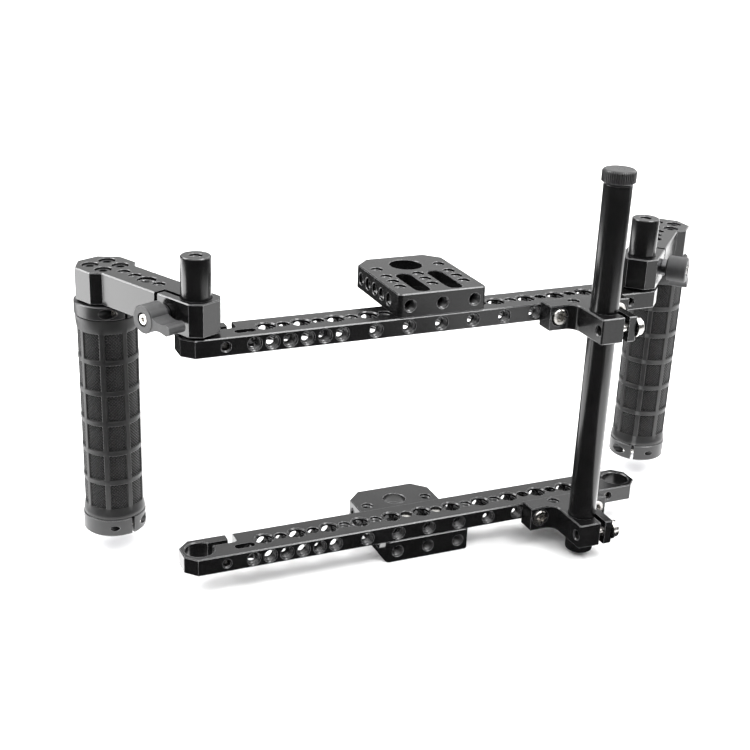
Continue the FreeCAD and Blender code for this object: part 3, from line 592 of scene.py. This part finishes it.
def rod_cap():
    """The end cap: straight knurling between two chamfers, a faint turned dish and its threaded stub."""
    low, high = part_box("rod_cap")
    centre = (low + high) / 2
    radius = (high.x - low.x) / 2
    count = CAP_TEETH * POINTS_PER_TOOTH
    head_low = high.z - CAP_HEAD_HEIGHT
    side = radius - CAP_SIDE_INSET
    dish = high.z - CAP_DISH_DEPTH
    # Each level has its height, its radius and how much of a tooth's depth stands on it
    levels = [
        (head_low, side - 0.5 * MM, 0.0), (head_low + 0.45 * MM, side - 0.05 * MM, 0.2),
        (head_low + 0.8 * MM, side, 1.0), (high.z - 1.1 * MM, side, 1.0),
        (high.z - 0.75 * MM, side - 0.02 * MM, 0.2), (high.z - 0.3 * MM, side - 0.22 * MM, 0.0),
        (high.z, side - 0.7 * MM, 0.0), (high.z, side - 1.6 * MM, 0.0),
        (dish, side - 1.8 * MM, 0.0), (dish, CAP_CENTRE_RADIUS, 0.0),
    ]
    bm = bmesh.new()
    rings = []
    turns = [2 * math.pi * k / count for k in range(count)]
    for z, base, share in levels:
        ring = []
        for k, angle in enumerate(turns):
            crest = CAP_TOOTH_DEPTH * share if k % POINTS_PER_TOOTH < POINTS_PER_TOOTH / 2 else 0.0
            ring.append(round_vertex(bm, centre, base - CAP_TOOTH_SINK + crest, angle, z))
        rings.append(ring)
    for lower, upper in zip(rings, rings[1:]):
        bridge(bm, lower, upper)
    bridge(bm, rings[-1], [bm.verts.new((centre.x, centre.y, high.z - CAP_CENTRE_DEPTH))])
    neck = [round_vertex(bm, centre, CAP_STUB_RADIUS, angle, head_low) for angle in turns]
    foot = [round_vertex(bm, centre, CAP_STUB_RADIUS, angle, low.z) for angle in turns]
    bridge(bm, neck, rings[0])
    bridge(bm, foot, neck)
    bridge(bm, [bm.verts.new((centre.x, centre.y, low.z))], foot)
    piece = add_piece("rod_cap_knurled", bm, "cap", materials["knurled_black"], 25)
    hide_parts("rod_cap")


# Screw threads in the tapped holes


def add_threads(name, bm, body, slot="black_anodised"):
    """Turns a bmesh of thread ridges into one piece, in the material of the part that is tapped."""
    add_piece(name + "_threads", bm, body, materials[slot])


def rail_places(steps):
    """Each hole place of the steps, as its step and its x: the middle one once, the others both ways."""
    return [(step, hand * step * HOLE_STEP) for step in steps for hand in (-1, 1) if step or hand > 0]


def rail_threads(side):
    """Threads of one rail: the row through its front, and the rows of large and small top holes."""
    low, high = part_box(side + "_rail")
    middle = (low + high) / 2
    flange_low, flange_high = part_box(side + "_rod_clamp")
    along = Vector((0, 1, 0))
    top_shown = high.z - low.z - RAIL_TOP_SPARE
    bm = bmesh.new()
    for step, x in rail_places(RAIL_FRONT_STEPS):
        shown = RAIL_END_SHOWN if step == RAIL_FRONT_STEPS[-1] else RAIL_FRONT_SHOWN
        if not flange_low.x < x < flange_high.x:
            thread(bm, Vector((x, low.y, middle.z)), along, FRONT_HOLE, shown)
        thread(bm, Vector((x, high.y, middle.z)), -along, FRONT_HOLE, RAIL_FRONT_SHOWN)
    for step, x in rail_places(RAIL_LARGE_STEPS + RAIL_SMALL_STEPS):
        kind = LARGE_HOLE if step in RAIL_LARGE_STEPS else SMALL_HOLE
        crossing = None
        if step in RAIL_FRONT_STEPS:
            crossing = (Vector((x, middle.y, middle.z)), along, SMALL_HOLE[0])
        thread(bm, Vector((x, middle.y, high.z)), -UP, kind, top_shown, crossing)
    add_threads(side + "_rail", bm, side + "_frame")


def plate_threads(name, body):
    """Threads of one fixing plate: its grid, its two outer holes and its side and front holes."""
    low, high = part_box(name)
    middle = (low + high) / 2
    faces = ((high.z, -UP), (low.z, UP))
    bm = bmesh.new()
    for hand in (-1, 0, 1):
        x = hand * 2 * HOLE_STEP
        for row in range(3):
            for z, inward in faces:
                shown = PLATE_CROSSED_SHOWN if hand else THREAD_SHOWN
                thread(bm, Vector((x, -row * PLATE_ROW_STEP, z)), inward, SMALL_HOLE, shown)
        thread(bm, Vector((x, low.y, middle.z)), Vector((0, 1, 0)), SMALL_HOLE, PLATE_FRONT_SHOWN)
    for hand in (-1, 1):
        for z, inward in faces:
            spot = Vector((hand * 2 * HOLE_STEP, PLATE_REAR_HOLE, z))
            thread(bm, spot, inward, SMALL_HOLE, PLATE_CROSSED_SHOWN)
        for k in range(PLATE_SIDE_HOLES):
            spot = Vector((hand * high.x, (k - PLATE_SIDE_HOLES // 2) * PLATE_SIDE_STEP, middle.z))
            thread(bm, spot, Vector((-hand, 0, 0)), SMALL_HOLE, PLATE_SIDE_SHOWN)
    add_threads(name, bm, body)


def arm_threads(side):
    """Threads of the four tapped holes along one arm."""
    low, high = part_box(side + "_handle_arm")
    rod_low, rod_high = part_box(side + "_support_rod")
    core_low, core_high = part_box(side + "_grip_core")
    rod = (rod_low + rod_high) / 2
    along = (core_low + core_high) / 2 - rod
    along.z = 0
    along.normalize()
    bm = bmesh.new()
    for reach, kind in ARM_HOLES:
        spot = rod + along * reach
        thread(bm, Vector((spot.x, spot.y, high.z)), -UP, kind, THREAD_SHOWN)
        thread(bm, Vector((spot.x, spot.y, low.z)), UP, kind, THREAD_SHOWN)
    add_threads(side + "_arm", bm, side + "_handle")


def clamp_threads(side):
    """Threads of the two upright tapped holes in a rod clamp's flange."""
    low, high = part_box(side + "_rod_clamp")
    centre_x = (low.x + high.x) / 2
    bm = bmesh.new()
    for hand in (-1, 1):
        for z, inward in ((high.z, -UP), (low.z, UP)):
            spot = Vector((centre_x + hand * CLAMP_HOLE_OUT, high.y - CLAMP_HOLE_INSET, z))
            thread(bm, spot, inward, SMALL_HOLE, THREAD_SHOWN)
    add_threads(side + "_clamp", bm, side + "_frame")


def rod_threads(node, body, kind, capped=False):
    """Threads in a rod's ends. A capped rod shows only the lower one."""
    low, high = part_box(node)
    middle = (low + high) / 2
    bm = bmesh.new()
    if not capped:
        thread(bm, Vector((middle.x, middle.y, high.z)), -UP, kind, ROD_THREAD_SHOWN)
    thread(bm, Vector((middle.x, middle.y, low.z)), UP, kind, ROD_THREAD_SHOWN)
    add_threads(node, bm, body, "rod_black")


# Floor, backdrop, lights and camera


def add_stage(name, bm, material, hidden_from):
    """Turns a bmesh into an object of the studio, hidden from the named kinds of ray."""
    mesh = bpy.data.meshes.new(name)
    bm.to_mesh(mesh)
    bm.free()
    mesh.materials.append(material)
    obj = bpy.data.objects.new(name, mesh)
    bpy.context.scene.collection.objects.link(obj)
    for kind in hidden_from:
        setattr(obj, "visible_" + kind, False)


def floor():
    """A pale, matte disc. The cage's glossy faces see the floor cards instead of it."""
    bm = bmesh.new()
    bmesh.ops.create_circle(bm, cap_ends=True, segments=ROUND_SEGMENTS, radius=FLOOR_RADIUS)
    material, tree, shader, coords = start_material("pale_floor")
    colour = mix(tree, noise(tree, coords, 3, 3), (0.9, 0.9, 0.9), (0.92, 0.92, 0.92))
    tree.links.new(colour, shader.inputs["Base Color"])
    shader.inputs["Roughness"].default_value = 0.9
    shader.inputs["Specular IOR Level"].default_value = 0.1
    add_stage("floor", bm, material, ("glossy",))


def backdrop():
    """A white shell round the studio. Only the camera sees it, so it doesn't light the cage."""
    bm = bmesh.new()
    bmesh.ops.create_icosphere(bm, subdivisions=3, radius=BACKDROP_RADIUS)
    bmesh.ops.reverse_faces(bm, faces=bm.faces)
    material, tree, shader, coords = start_material("white_backdrop")
    colour = mix(tree, noise(tree, coords, 0.3, 2), (0.97, 0.97, 0.97), (1.0, 1.0, 1.0))
    tree.links.new(colour, shader.inputs["Base Color"])
    tree.links.new(colour, shader.inputs["Emission Color"])
    shader.inputs["Emission Strength"].default_value = 1.05
    add_stage("backdrop", bm, material, ("diffuse", "glossy", "transmission", "shadow"))


def area_light(name, width, height, watts):
    """A rectangular light that the camera doesn't see."""
    light = bpy.data.lights.new(name, "AREA")
    light.shape = "RECTANGLE"
    light.size = width
    light.size_y = height
    light.energy = watts
    obj = bpy.data.objects.new(name, light)
    obj.visible_camera = False
    bpy.context.scene.collection.objects.link(obj)
    return obj


def softbox(name, at, aim, width, height, watts):
    """A light at one point that faces another."""
    obj = area_light(name, width, height, watts)
    obj.location = at
    obj.rotation_mode = "QUATERNION"
    obj.rotation_quaternion = (Vector(aim) - Vector(at)).to_track_quat("-Z", "Y")


def floor_card(name, low, high, watts):
    """A light that lies on the floor and faces up, like a white card that the cage reflects."""
    obj = area_light(name, high[0] - low[0], high[1] - low[1], watts)
    obj.location = ((low[0] + high[0]) / 2, (low[1] + high[1]) / 2, CARD_HEIGHT)
    obj.rotation_euler = (math.pi, 0, 0)


def lights():
    """A dim world, a wide overhead box, boxes round the cage and cards for its faces to mirror."""
    world = bpy.data.worlds.new("studio")
    world.use_nodes = True
    background = world.node_tree.nodes["Background"]
    background.inputs["Color"].default_value = (1, 1, 1, 1)
    background.inputs["Strength"].default_value = WORLD_STRENGTH
    bpy.context.scene.world = world
    aim = (0, 0, 0.12)
    softbox("overhead_box", (0, 0, 3.2), (0, 0.001, 0), 9, 9, 600)
    softbox("back_box", (0.7, 2.2, 1.0), aim, 3.2, 1.4, 12)
    softbox("left_box", (-1.3, 0.85, 1.55), aim, 1.0, 1.0, 32)
    softbox("right_box", (1.6, 0.3, 0.75), aim, 1.6, 1.3, 16)
    softbox("key_box", (0.8, -0.78, 1.9), aim, 0.9, 0.9, 30)
    floor_card("left_card", (-1.75, 0.03), (-0.42, 1.33), 36)
    floor_card("near_left_card", (-0.42, -0.02), (0.02, 0.24), 1.1)
    floor_card("right_card", (0.12, -0.3), (1.3, 1.1), 15)
    floor_card("front_card", (0.17, -1.1), (0.87, -0.32), 2.8)


def camera():
    """The camera, left of the cage's front and a little above it."""
    data = bpy.data.cameras.new("camera")
    data.lens = CAMERA_LENS
    data.sensor_width = 36
    data.clip_start = 0.02
    data.clip_end = 50
    obj = bpy.data.objects.new("camera", data)
    bpy.context.scene.collection.objects.link(obj)
    flat = math.cos(CAMERA_PITCH)
    ahead = Vector((math.sin(CAMERA_YAW) * flat, math.cos(CAMERA_YAW) * flat, -math.sin(CAMERA_PITCH)))
    right = ahead.cross(UP).normalized()
    above = right.cross(ahead)
    turn_cos, turn_sin = math.cos(CAMERA_ROLL), math.sin(CAMERA_ROLL)
    rolled_right = right * turn_cos + above * turn_sin
    rolled_above = above * turn_cos - right * turn_sin
    axes = Matrix((rolled_right, rolled_above, -ahead)).transposed()
    obj.matrix_world = Matrix.Translation(CAMERA_AT) @ axes.to_4x4()
    bpy.context.scene.camera = obj


paint_cad_nodes()
grip_sleeve("left", LEFT_RIB_ANGLE)
grip_sleeve("right", RIGHT_RIB_ANGLE)
rod_cap()
turned_rod("vertical_rod", "rod", ROD_HOLE)
turned_rod("left_support_rod", "left_rod", SMALL_HOLE)
turned_rod("right_support_rod", "right_rod", SMALL_HOLE)
rail_threads("upper")
rail_threads("lower")
plate_threads("top_plate", "upper_frame")
plate_threads("base_plate", "lower_frame")
for hand_side in ("left", "right"):
    arm_threads(hand_side)
    rod_threads(hand_side + "_support_rod", hand_side + "_rod", SMALL_HOLE)
clamp_threads("upper")
clamp_threads("lower")
rod_threads("vertical_rod", "rod", ROD_HOLE, capped=True)
floor()
backdrop()
lights()
camera()
bpy.context.scene.view_settings.view_transform = "Standard"
